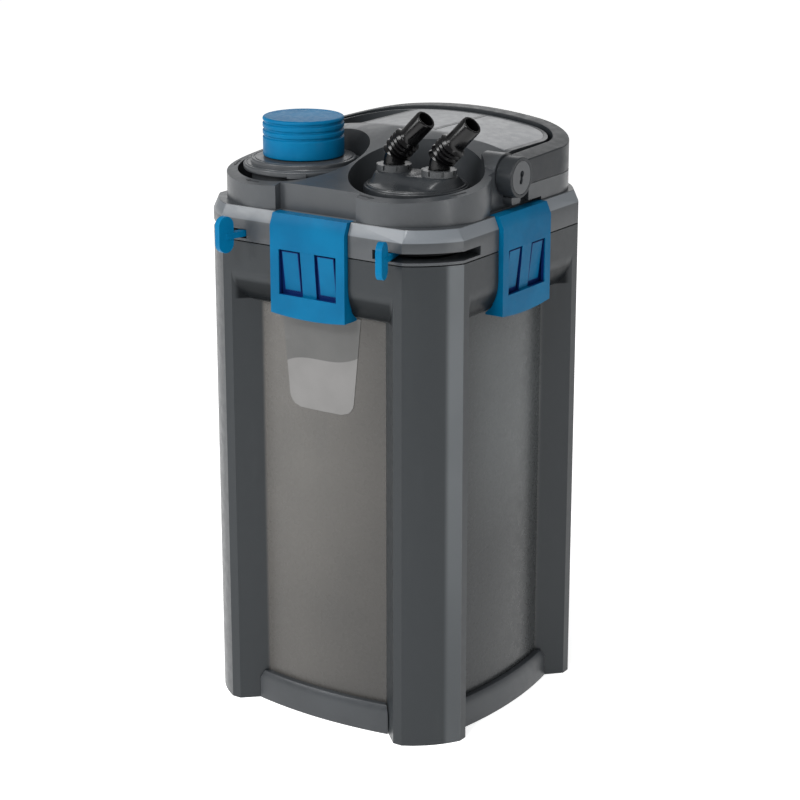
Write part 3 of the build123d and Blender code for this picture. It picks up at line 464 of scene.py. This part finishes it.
def turned_mesh(profile, centre, steps=128):
    """Vertices and faces of a (radius, height) outline turned about an upright axis."""
    vertices, rings = [], []
    for radius, height in profile:
        if radius == 0:
            rings.append([len(vertices)] * steps)
            vertices.append((centre[0], centre[1], height))
            continue
        start = len(vertices)
        for k in range(steps):
            angle = 2 * math.pi * k / steps
            vertices.append((*polar(centre, radius, angle), height))
        rings.append(list(range(start, start + steps)))
    faces = []
    for low, high in zip(rings, rings[1:]):
        for k in range(steps):
            quad = [low[k], low[(k + 1) % steps], high[(k + 1) % steps], high[k]]
            clean = [v for i, v in enumerate(quad) if v != quad[i - 1]]
            if len(clean) > 2:
                faces.append(clean)
    return vertices, faces


def sector_mesh(centre, radii, angles, heights, steps=8):
    """Vertices and faces of a short curved bar: an annular sector between two heights."""
    (inner, outer), (low, high) = radii, heights
    corners = [(inner, low), (outer, low), (outer, high), (inner, high)]
    vertices = []
    for k in range(steps + 1):
        angle = math.radians(angles[0] + (angles[1] - angles[0]) * k / steps)
        for radius, height in corners:
            vertices.append((*polar(centre, radius, angle), height))
    faces = [[0, 1, 2, 3], [4 * steps + k for k in (3, 2, 1, 0)]]
    for k in range(steps):
        for c in range(4):
            d = (c + 1) % 4
            faces.append([4 * k + c, 4 * k + 4 + c, 4 * k + 4 + d, 4 * k + d])
    return vertices, faces


def joined(name, *parts):
    """One object from several (vertices, faces) pairs, with its faces turned outwards."""
    vertices, faces = [], []
    for more_vertices, more_faces in parts:
        start = len(vertices)
        vertices += more_vertices
        faces += [[index + start for index in face] for face in more_faces]
    obj = new_object(name, vertices, faces)
    outward(obj)
    smooth(obj.data)
    return obj


def outward(obj):
    """Turns every face of the closed mesh outwards."""
    bm = bmesh.new()
    bm.from_mesh(obj.data)
    bmesh.ops.recalc_face_normals(bm, faces=bm.faces)
    bm.to_mesh(obj.data)
    bm.free()


def ease(value, low, high):
    """0 below low, 1 above high, smooth in between."""
    t = min(max((value - low) / (high - low), 0), 1)
    return t * t * (3 - 2 * t)


def arc_points(centre, radius, start, end, count):
    """Points of an arc in the (radius, height) plane, angles in degrees."""
    points = []
    for k in range(count + 1):
        angle = math.radians(start + (end - start) * k / count)
        points.append(polar(centre, radius, angle))
    return points


# ---------------------------------------------------------------- camera

CAMERA_AT = Vector((0.9888, -1.4452, 0.7719))
CAMERA_AZIMUTH, CAMERA_ELEVATION = 34.31, 17.03
CAMERA_LENS, SENSOR = 102.98, 36.0


def make_camera():
    data = bpy.data.cameras.new("camera")
    data.lens = CAMERA_LENS
    data.sensor_width = SENSOR
    data.clip_start, data.clip_end = 0.05, 50
    camera = bpy.data.objects.new("camera", data)
    bpy.context.scene.collection.objects.link(camera)
    azimuth, elevation = math.radians(CAMERA_AZIMUTH), math.radians(CAMERA_ELEVATION)
    level = math.cos(elevation)
    back = Vector((math.sin(azimuth) * level, -math.cos(azimuth) * level, math.sin(elevation)))
    camera.location = CAMERA_AT
    camera.rotation_mode = "QUATERNION"
    camera.rotation_quaternion = (-back).to_track_quat("-Z", "Y")
    bpy.context.scene.camera = camera


make_camera()


# ---------------------------------------------------------------- pieces

# rounding of each node's edges, in millimetres
EDGE_WIDTHS = {
    "container_shell": 1.2,
    "head_housing": 0.9,
    "carry_handle": 1.2,
    "handle_caps": 0.35,
    "gland_collars": 0.3,
    "top_trim_left": 0.7,
    "top_trim_right": 0.7,
    "heater_plug": 0.8,
    "cable_gland": 0.6,
    "adapter_lock_lever": 1.1,
    "prefilter_lock_lever": 1.1,
}
for side in SIDES:
    EDGE_WIDTHS["base_skirt_" + side] = 0.7
    EDGE_WIDTHS["latch_cover_" + side] = 0.7
    EDGE_WIDTHS["latch_hook_" + side] = 0.6
for node, width in EDGE_WIDTHS.items():
    softened(node, width)


KNOB_GROOVES_Z, KNOB_GROOVE_DEPTH = (0.4637, 0.4583, 0.4530), 0.0011
KNOB_HOLLOW_R, KNOB_HOLLOW_Z = 0.0276, 0.460


def knob():
    """Round cap with three grooves in its side, a rounded top edge and a hollow from below."""
    low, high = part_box("priming_knob")
    centre = (low + high) / 2
    radius = (high.x - low.x) / 2
    floor_radius = radius - KNOB_GROOVE_DEPTH
    profile = [(0, high.z - 0.0006), (radius * 0.80, high.z - 0.0006), (radius - 0.0032, high.z - 0.0003)]
    profile += arc_points((radius - 0.0018, high.z - 0.0018), 0.0018, 90, 0, 5)
    for height in KNOB_GROOVES_Z:
        profile += arc_points((radius - 0.0005, height + 0.0016), 0.0005, 0, -60, 3)
        profile += [(floor_radius, height + 0.0005), (floor_radius, height - 0.0005)]
        profile += arc_points((radius - 0.0005, height - 0.0016), 0.0005, 60, 0, 3)
    profile += arc_points((radius - 0.0008, low.z + 0.0008), 0.0008, 0, -90, 4)
    profile += [(KNOB_HOLLOW_R, low.z), (KNOB_HOLLOW_R, KNOB_HOLLOW_Z), (0, KNOB_HOLLOW_Z)]
    obj = joined("priming_knob_turned", turned_mesh(profile, centre))
    return place_piece(obj, "priming_knob")


knob()


# the lid's locking lugs: their middles and half span in degrees, radii and heights
LUG_ANGLES, LUG_HALF_SPAN = (-60, 60, 180), 8.5
LUG_RADII, LUG_Z = (0.0440, 0.0491), (0.4276, 0.4309)


def filter_lid():
    """Bayonet lid: stepped flange, locking lugs and a bell that flares from the knob's neck."""
    low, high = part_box("priming_knob")
    centre = (low + high) / 2
    profile = [(0, 0.402), (0.023, 0.402), (0.023, 0.452), (0.027, 0.452), (0.027, 0.4392)]
    profile += [(0.0278, 0.4379), (0.0294, 0.4370), (0.0320, 0.4365), (0.0350, 0.4363), (0.0372, 0.4362)]
    profile += [(0.0376, 0.4356), (0.0383, 0.4356), (0.0387, 0.4361)]
    profile += arc_points((0.0397, 0.4351), 0.0010, 90, 0, 4)
    profile += [(0.0407, 0.4329), (0.0411, 0.4324), (0.0436, 0.4322)]
    profile += [(0.0439, 0.4316), (0.0443, 0.4316), (0.0446, 0.4320)]
    profile += arc_points((0.0454, 0.4309), 0.0011, 90, 0, 4)
    profile += arc_points((0.0457, 0.4283), 0.0008, 0, -90, 3)
    profile += [(0.040, 0.4275), (0.040, 0.406), (0.0357, 0.406), (0.0357, 0.398), (0, 0.398)]
    lugs = []
    for angle in LUG_ANGLES:
        lugs.append(sector_mesh(centre, LUG_RADII, (angle - LUG_HALF_SPAN, angle + LUG_HALF_SPAN), LUG_Z))
    obj = joined("prefilter_lid_turned", turned_mesh(profile, centre), *lugs)
    return place_piece(obj, "prefilter_lid")


filter_lid()


ADAPTER_TOP, ADAPTER_RIM, ADAPTER_CROWN = 0.4348, 0.4272, 0.0043
ADAPTER_STEPS, ADAPTER_ROWS = 192, 44
TAIL_FLANGE_R = 0.0105


def adapter_height(x, y, port):
    """Top surface of the adapter: low dome with one raised plateau round both ports."""
    radius = math.hypot(x, y)
    dome = ADAPTER_RIM + ADAPTER_CROWN * (1 - min(radius / 0.036, 1) ** 2)
    away = math.hypot(max(abs(x) - port, 0), y)
    lift = (1 - ease(away, 0.0115, 0.0270)) ** 1.3
    valley = 0.0012 * (1 - ease(abs(x), 0.0, port - 0.0115)) * (1 - ease(abs(y), 0.004, 0.018))
    edge = 1 - ease(radius, 0.0320, 0.0362)
    return dome + (ADAPTER_TOP - valley - dome) * lift * edge


def hose_block():
    """Round adapter: stepped rim, smooth saddle between the ports, one stepped bore under each tail."""
    inlet_low, inlet_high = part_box("inlet_tail")
    outlet_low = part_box("outlet_tail")[0]
    port = (outlet_low.x - inlet_low.x) / 2
    centre = (inlet_low.x + TAIL_FLANGE_R + port, (inlet_low.y + inlet_high.y) / 2)
    steps, rows = ADAPTER_STEPS, ADAPTER_ROWS
    rim = [(0, 0.388), (0.0357, 0.388), (0.0357, 0.406), (0.0395, 0.406)]
    rim += arc_points((0.0385, 0.4250), 0.0010, 0, 90, 4)
    rim += [(0.0380, 0.4260), (0.0378, 0.4268), (0.0374, 0.4272), (0.0366, 0.4272)]
    rim += [(0.0363, 0.4268), (0.0360, 0.4268)]
    vertices, faces = turned_mesh(rim, centre, steps)
    edge = len(vertices) - steps
    for row in range(rows):
        radius = 0.0358 * (1 - row / rows)
        for k in range(steps):
            angle = 2 * math.pi * k / steps
            x, y = polar((0, 0), radius, angle)
            vertices.append((centre[0] + x, centre[1] + y, adapter_height(x, y, port)))
    vertices.append((*centre, adapter_height(0, 0, port)))
    top = len(vertices) - 1
    for row in range(rows):
        low, high = edge + row * steps, edge + (row + 1) * steps
        faces += [[low + k, low + (k + 1) % steps, high + (k + 1) % steps, high + k] for k in range(steps)]
    last = edge + rows * steps
    faces += [[last + k, last + (k + 1) % steps, top] for k in range(steps)]
    obj = joined("hose_adapter_block", (vertices, faces))
    bore = [(0, 0.380), (0.006, 0.380), (0.006, 0.401), (0.00805, 0.401)]
    bore += [(0.00805, 0.4205), (0.0109, 0.4205), (0.0109, 0.441), (0, 0.441)]
    cutters = []
    for side in (-1, 1):
        cutter = joined("adapter_bore_cutter", turned_mesh(bore, (centre[0] + side * port, centre[1]), 48))
        cut = obj.modifiers.new("bore", "BOOLEAN")
        cut.operation = "DIFFERENCE"
        cut.solver = "EXACT"
        cut.object = cutter
        cutters.append(cutter)
    bake_modifiers(obj)
    for cutter in cutters:
        bpy.data.objects.remove(cutter)
    smooth(obj.data)
    return place_piece(obj, "hose_adapter")


hose_block()


TAIL_R, TAIL_BORE_R, TAIL_STEPS = 0.008, 0.006, 72
TAIL_TILT, TAIL_TURN_R = math.radians(45), 0.020
# height of the elbow's corner, length from there to the tip, and the foot flange's two faces
ELBOW_Z, TAIL_LENGTH = 0.4467, 0.0408
FLANGE_TOP_Z, FLANGE_LOW_Z = 0.4344, 0.4234
# the ribs: first one's distance from the tip, pitch, count and radius
RIB_FIRST, RIB_PITCH, RIBS, RIB_R = 0.0246, 0.0035, 5, 0.0108
NECK_SPANS, BEND_SPANS = 5, 8


def hose_tail(node):
    """Glossy elbow: upright stub, wide 45 degree bend, sharp hose ribs and an open plain end."""
    low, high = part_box(node)
    radius, bore, flange = TAIL_R, TAIL_BORE_R, TAIL_FLANGE_R
    axis_x, axis_y = low.x + flange, (low.y + high.y) / 2
    tilt, turn_radius = TAIL_TILT, TAIL_TURN_R
    tangent = turn_radius * math.tan(tilt / 2)
    straight = TAIL_LENGTH - tangent
    across = Vector((0, 1, 0))
    elbow = Vector((axis_x, axis_y, ELBOW_Z))
    turn_at = Vector((axis_x + turn_radius, axis_y, ELBOW_Z - tangent))

    def at(to_tip):
        """Centre and direction on the tail, at a distance back from its tip."""
        if to_tip <= straight:
            along = Vector((math.sin(tilt), 0, math.cos(tilt)))
            return elbow + along * (TAIL_LENGTH - to_tip), along
        angle = tilt - (to_tip - straight) / turn_radius
        if angle >= 0:
            out = Vector((-math.cos(angle), 0, math.sin(angle)))
            return turn_at + out * turn_radius, Vector((math.sin(angle), 0, math.cos(angle)))
        return Vector((axis_x, axis_y, turn_at.z + angle * turn_radius)), Vector((0, 0, 1))

    bend_end = straight + tilt * turn_radius
    foot = bend_end + turn_at.z - low.z
    outer = [(foot, radius - 0.0006), (foot - 0.0006, radius)]
    flange_top = bend_end + turn_at.z - FLANGE_TOP_Z
    flange_low = bend_end + turn_at.z - FLANGE_LOW_Z
    outer += [(flange_low, radius), (flange_low, flange - 0.0004), (flange_low - 0.0004, flange)]
    outer += [(flange_top + 0.0004, flange), (flange_top, flange - 0.0004), (flange_top, radius + 0.0002)]
    top_rib = RIB_FIRST + RIB_PITCH * (RIBS - 1)
    neck = flange_top - top_rib
    outer += [(top_rib + neck * (NECK_SPANS - k) / NECK_SPANS, radius) for k in range(1, NECK_SPANS)]
    for rib in reversed(range(RIBS)):
        base = RIB_FIRST + RIB_PITCH * rib
        outer += [(base + 0.0002, radius + 0.0001), (base, RIB_R - 0.0005), (base - 0.0002, RIB_R - 0.0001)]
        outer += [(base - 0.0006, RIB_R), (base - 0.0010, RIB_R - 0.0005)]
        outer += [(base - 0.0025, radius + 0.0004), (base - 0.0029, radius + 0.0001)]
    outer += [(RIB_FIRST - 0.006, radius), (0.0014, radius), (0.0005, radius - 0.0002)]
    outer += [(0.0001, radius - 0.0006), (0.0, radius - 0.0010)]
    inner = [(0.0, bore + 0.0005), (0.0003, bore + 0.0001), (0.0010, bore), (straight, bore)]
    bend = bend_end - straight
    inner += [(straight + bend * k / BEND_SPANS, bore) for k in range(1, BEND_SPANS + 1)] + [(foot, bore)]
    vertices, rings, steps = [], [], TAIL_STEPS
    for to_tip, size in outer + inner:
        point, direction = at(to_tip)
        other = direction.cross(across)
        start = len(vertices)
        for k in range(steps):
            angle = 2 * math.pi * k / steps
            vertices.append(point + across * (size * math.cos(angle)) + other * (size * math.sin(angle)))
        rings.append(range(start, start + steps))
    faces = []
    for one, two in zip(rings, rings[1:] + rings[:1]):
        faces += [[one[k], two[k], two[(k + 1) % steps], one[(k + 1) % steps]] for k in range(steps)]
    obj = joined(node + "_turned", (vertices, faces))
    smooth(obj.data, 40)
    return place_piece(obj, node)


for node in ("inlet_tail", "outlet_tail"):
    hose_tail(node)


# the deck: height of its front edge and how far that lies before the axis, slope, crown and its growth
DECK_Z, DECK_FRONT, DECK_SLOPE = 0.426, 0.1015, 0.267
DECK_CROWN, DECK_CROWN_GROWTH, DECK_HALF = 0.002, 0.0833, 0.086


def deck_height(x, y):
    """Height of the head's sloped, crowned deck."""
    run = y + DECK_FRONT
    crown = DECK_CROWN + DECK_CROWN_GROWTH * run
    return DECK_Z + DECK_SLOPE * run - crown * (x / DECK_HALF) ** 2


# the rim arrows: radius, half span and head span in degrees, half widths, and heights against the deck
ARROW_R, ARROW_HALF_SPAN, ARROW_HEAD_SPAN = 0.0543, 7.5, 5.0
ARROW_SHAFT, ARROW_HEAD, ARROW_HEAD_MIDDLE, ARROW_TIP = 0.00055, 0.0016, 0.0008, 0.00005
ARROW_FOOT, ARROW_TOP = -0.0004, 0.00028


def rim_arrow(name, centre, middle, direction):
    """Plain raised arrow that follows a well's rim; direction is +1 or -1 round the rim."""
    half_span, neck = ARROW_HALF_SPAN, ARROW_HALF_SPAN - ARROW_HEAD_SPAN
    stations = [(offset, ARROW_SHAFT) for offset in (-half_span, -half_span / 2, 0.0, neck)]
    stations += [(neck, ARROW_HEAD), (half_span - ARROW_HEAD_SPAN / 2, ARROW_HEAD_MIDDLE)]
    stations += [(half_span, ARROW_TIP)]
    vertices = []
    for offset, half_width in stations:
        angle = math.radians(middle + direction * offset)
        for side in (-1, 1):
            x, y = polar(centre, ARROW_R + side * half_width, angle)
            for lift in (ARROW_FOOT, ARROW_TOP):
                vertices.append((x, y, deck_height(x, y) + lift))
    faces = [[0, 1, 3, 2]]
    for k in range(len(stations) - 1):
        a, b = 4 * k, 4 * k + 4
        faces += [[a + i, b + i, b + j, a + j] for i, j in ((0, 1), (1, 3), (3, 2), (2, 0))]
    end = 4 * (len(stations) - 1)
    faces.append([end, end + 2, end + 3, end + 1])
    obj = joined(name, (vertices, faces))
    obj.data.materials.append(MATERIALS["inner_plastic"])
    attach(obj, BODY_OF["head_housing"])
    return obj


def rim_arrows():
    """Two arrows beside each well, in place of printed words."""
    rim_arrow("rim_arrow_a", RIGHT_WELL, -98, 1)
    rim_arrow("rim_arrow_b", RIGHT_WELL, -22, -1)
    rim_arrow("rim_arrow_c", LEFT_WELL, -100, -1)
    rim_arrow("rim_arrow_d", LEFT_WELL, -160, 1)


rim_arrows()


# the label: radius of the panel's bow, thickness, radius of the lower corners, half width of the foot
LABEL_BOW_R, LABEL_THICK, LABEL_CORNER, LABEL_HALF_LOW = 0.3217, 0.0004, 0.010, 0.0290


def label():
    """Thin label that follows the panel's bow, with rounded lower corners."""
    low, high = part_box("label_plate")
    radius, corner = LABEL_BOW_R, LABEL_CORNER
    centre_y = low.y + radius + LABEL_THICK
    middle = (low.x + high.x) / 2
    half_top = (high.x - low.x) / 2
    columns, rows = 24, 40
    vertices = []
    for layer in (LABEL_THICK, 0.0):
        for row in range(rows + 1):
            z = low.z + (high.z - low.z) * row / rows
            half = LABEL_HALF_LOW + (half_top - LABEL_HALF_LOW) * row / rows
            rise = min(z - low.z, corner)
            half -= corner - math.sqrt(max(corner ** 2 - (corner - rise) ** 2, 0))
            for column in range(columns + 1):
                x = middle + half * (2 * column / columns - 1)
                vertices.append((x, centre_y - math.sqrt((radius + layer) ** 2 - x ** 2), z))
    width, layer_size = columns + 1, (columns + 1) * (rows + 1)
    faces = []
    for row in range(rows):
        for column in range(columns):
            a = row * width + column
            quad = [a, a + 1, a + 1 + width, a + width]
            faces += [quad, [index + layer_size for index in reversed(quad)]]
    rim = list(range(width))
    rim += [row * width + columns for row in range(1, rows + 1)]
    rim += [rows * width + column for column in range(columns - 1, -1, -1)]
    rim += [row * width for row in range(rows - 1, 0, -1)]
    for here, after in zip(rim, rim[1:] + rim[:1]):
        faces.append([after, here, here + layer_size, after + layer_size])
    obj = new_object("label_plate_print", vertices, faces)
    smooth(obj.data, 30)
    return place_piece(obj, "label_plate")


label()


# ---------------------------------------------------------------- floor and light

FLOOR_HALF, FLOOR_GLOW, SKY_STRENGTH = 6.0, 0.66, 0.36
# place, target, width, height and power of each lamp
LAMPS = {
    "key": ((-1.3, -1.7, 1.3), (0, 0, 0.25), 0.8, 1.4, 24),
    "front": ((0.15, -1.75, 1.45), (0, 0, 0.4), 0.9, 0.4, 18),
    "side": ((1.6, -0.3, 0.35), (0.1, -0.1, 0.28), 0.22, 0.9, 3),
    "back_soft": ((-0.9, 1.6, 1.1), (0, 0, 0.4), 1.2, 0.6, 3),
    "top": ((0.2, -0.5, 1.9), (0, 0, 0.4), 0.5, 0.5, 9),
}


def floor():
    """Plain pale floor that glows a little, so that it stays white under the soft lamps."""
    size = FLOOR_HALF
    corners = [(-size, -size, 0), (size, -size, 0), (size, size, 0), (-size, size, 0)]
    obj = new_object("floor", corners, [[0, 1, 2, 3]])
    g = Graph("floor_white")
    tone = g.mix(g.noise(3, 2), linear(246, 246, 246), linear(250, 250, 250))
    g.link(tone, g.shader.inputs["Base Color"])
    g.shader.inputs["Roughness"].default_value = 0.7
    g.shader.inputs["Emission Color"].default_value = (1, 1, 1, 1)
    g.shader.inputs["Emission Strength"].default_value = FLOOR_GLOW
    obj.data.materials.append(g.material)


def area_light(name, place, target, width, height, power):
    data = bpy.data.lights.new(name, "AREA")
    data.shape = "RECTANGLE"
    data.size, data.size_y = width, height
    data.energy = power
    obj = bpy.data.objects.new(name, data)
    bpy.context.scene.collection.objects.link(obj)
    obj.location = place
    obj.rotation_mode = "QUATERNION"
    obj.rotation_quaternion = (Vector(target) - Vector(place)).to_track_quat("-Z", "Y")


def studio():
    world = bpy.data.worlds.new("studio")
    bpy.context.scene.world = world
    world.use_nodes = True
    background = world.node_tree.nodes["Background"]
    background.inputs["Color"].default_value = (1, 1, 1, 1)
    background.inputs["Strength"].default_value = SKY_STRENGTH
    bpy.context.scene.view_settings.view_transform = "Standard"
    for name, lamp in LAMPS.items():
        area_light(name, *lamp)


floor()
studio()
